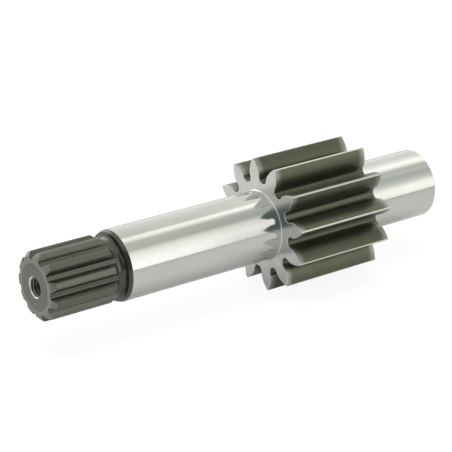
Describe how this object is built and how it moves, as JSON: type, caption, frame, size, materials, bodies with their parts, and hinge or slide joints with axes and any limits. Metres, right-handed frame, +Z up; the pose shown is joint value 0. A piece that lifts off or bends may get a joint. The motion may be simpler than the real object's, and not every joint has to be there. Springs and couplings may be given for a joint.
{
  "type": "drive shaft",
  "caption": "Solid pump drive shaft: involute spline with a tapped end hole, relief groove and seal lead-in, long ground journal, integral spur gear and short journal.",
  "frame": {"origin": "on the shaft's axis, midway between its two end faces", "axes": "+X along the axis from the splined end to the plain end, +Z up as it lies on two neighbouring gear teeth, with a tooth space straight below the axis"},
  "size_m": [0.1304, 0.037, 0.037],
  "materials": {
    "steel": "ground bright on the journals, gear faces and tooth tips; dark phosphate skin on the spline, groove, shoulder and tooth flanks"
  },
  "bodies": {
    "root": {"drive_shaft": "steel"}
  },
  "joints": []
}
